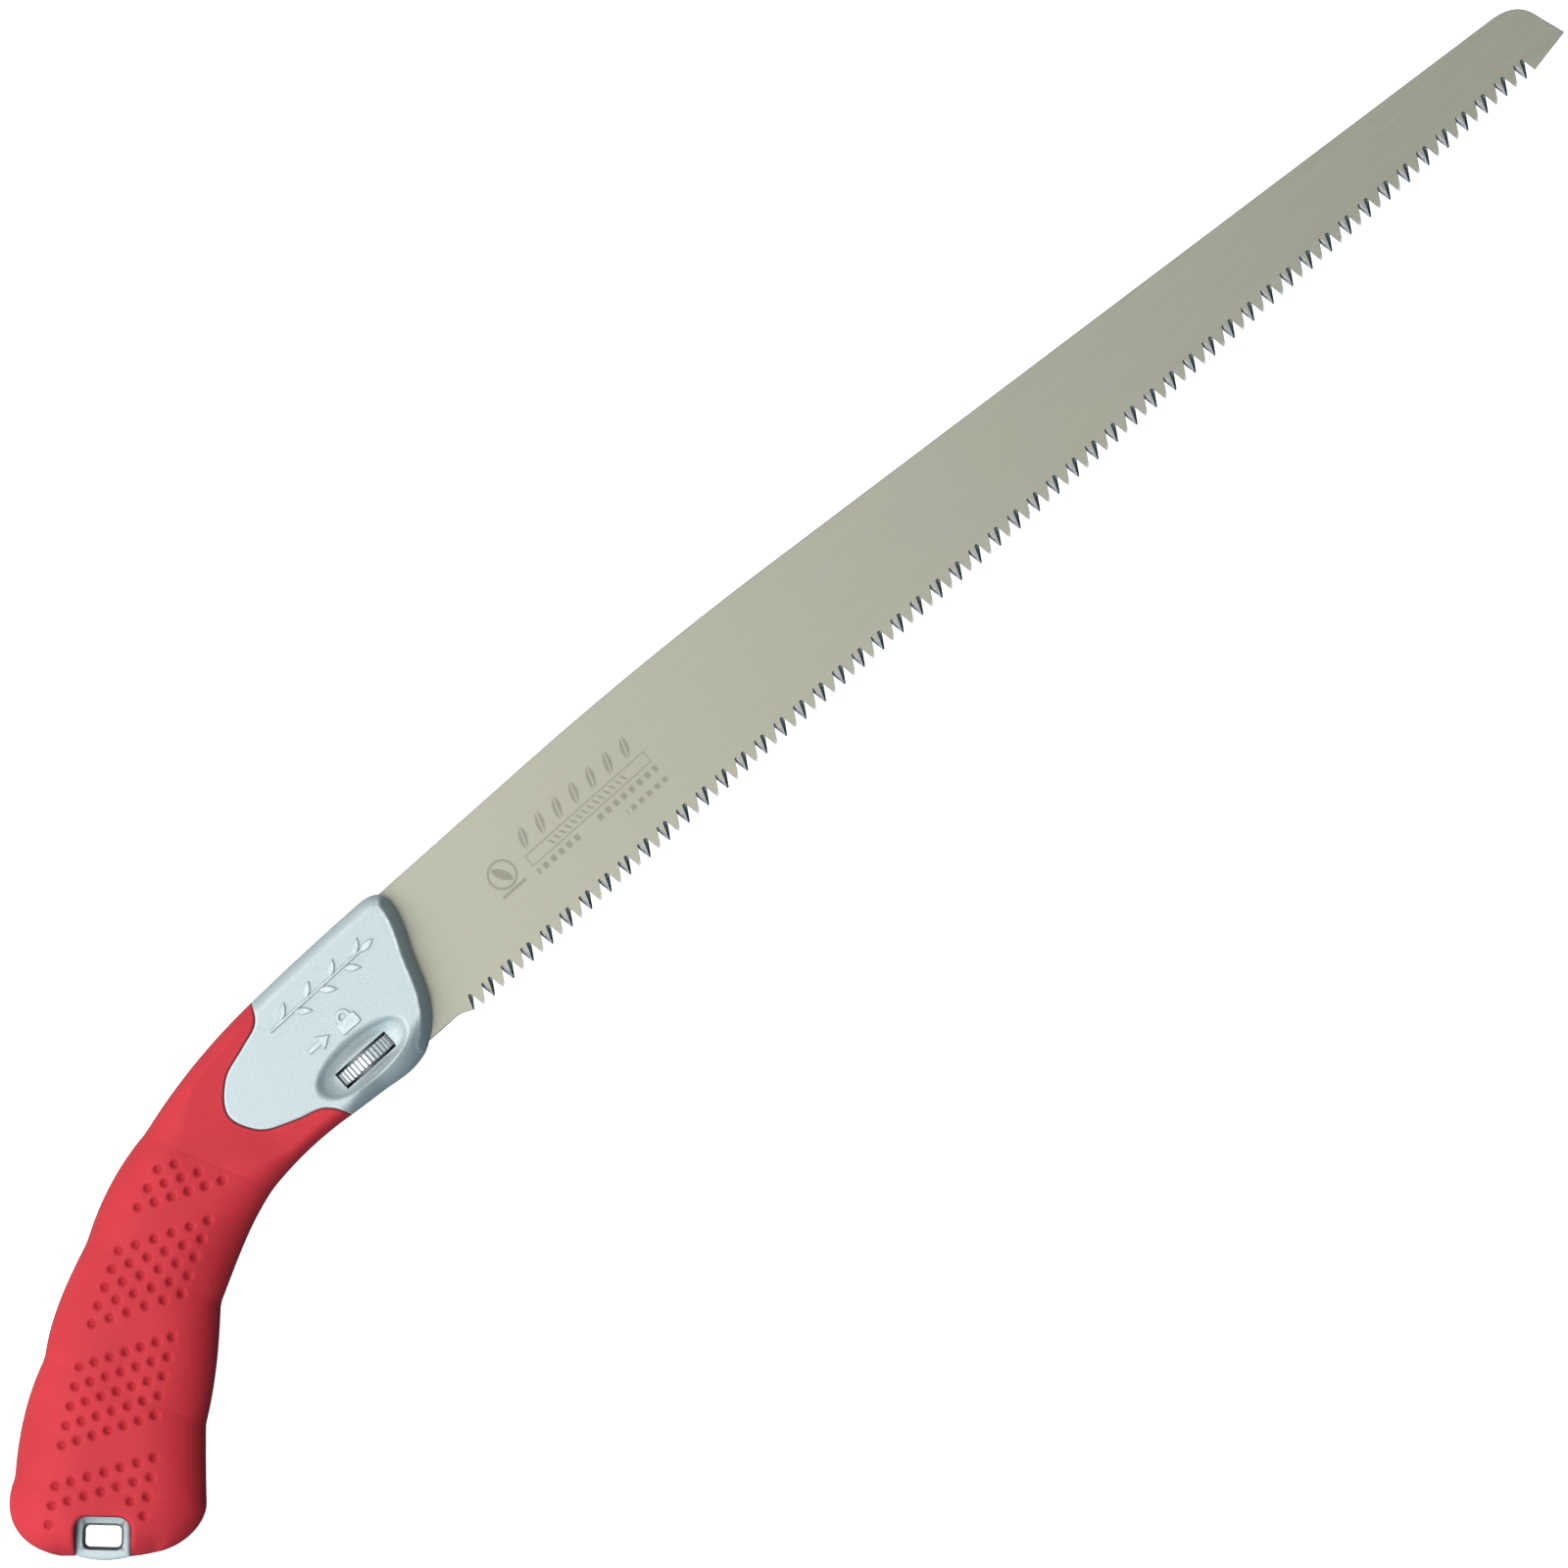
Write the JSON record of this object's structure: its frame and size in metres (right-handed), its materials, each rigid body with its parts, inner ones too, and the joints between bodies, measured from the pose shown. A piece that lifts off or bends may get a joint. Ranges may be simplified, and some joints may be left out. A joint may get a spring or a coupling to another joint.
{
  "type": "pruning saw",
  "caption": "Pruning saw with a curved pistol grip, a long tapering pull-cut blade and a knurled wheel that locks the replaceable blade in the head.",
  "frame": {"origin": "middle of the underside of the bounding box, with the saw lying flat on its far cheek", "axes": "+X along the tooth line towards the blade's tip, +Y from the teeth to the blade's back, +Z through the thickness, up from the far cheek to the near cheek"},
  "size_m": [0.4958, 0.083, 0.0259],
  "materials": {
    "blade_steel": "fine ground, matte",
    "silver_casting": "die cast, satin silver coat",
    "red_elastomer": "matte moulded elastomer",
    "nickel": "nickel plated, knurled",
    "zinc_steel": "zinc plated"
  },
  "bodies": {
    "handle": {"frame_near": "silver_casting", "frame_far": "silver_casting", "grip_sleeve": "red_elastomer", "tang_pin": "zinc_steel", "back_stop_pin": "zinc_steel", "butt_dowel": "zinc_steel", "stud_key_plate": "zinc_steel", "thrust_washer": "zinc_steel", "wave_washer": "zinc_steel", "frame_screw_1": "zinc_steel", "frame_screw_2": "zinc_steel", "frame_screw_3": "zinc_steel", "frame_screw_4": "zinc_steel", "frame_screw_5": "zinc_steel"},
    "lock_wheel": {"lock_wheel": "nickel"},
    "lock_stud": {"lock_stud": "zinc_steel"},
    "blade": {"blade": "blade_steel"}
  },
  "joints": [
    {"name": "lock_wheel_turn", "type": "hinge", "parent": "handle", "child": "lock_wheel", "pos_m": [-0.11557, 0.01337, 0.01297], "axis": [0, 1, 0], "range_deg": [0, 270]},
    {"name": "lock_stud_rise", "type": "slide", "parent": "handle", "child": "lock_stud", "axis": [0, 1, 0], "range_m": [0, 0.0015]},
    {"name": "blade_draw", "type": "slide", "parent": "handle", "child": "blade", "axis": [1, 0, 0], "range_m": [0, 0.055]}
  ],
  "couplings": [
    {"joint": "lock_stud_rise", "follows": "lock_wheel_turn", "m_per_rad": 0.0003183}
  ]
}
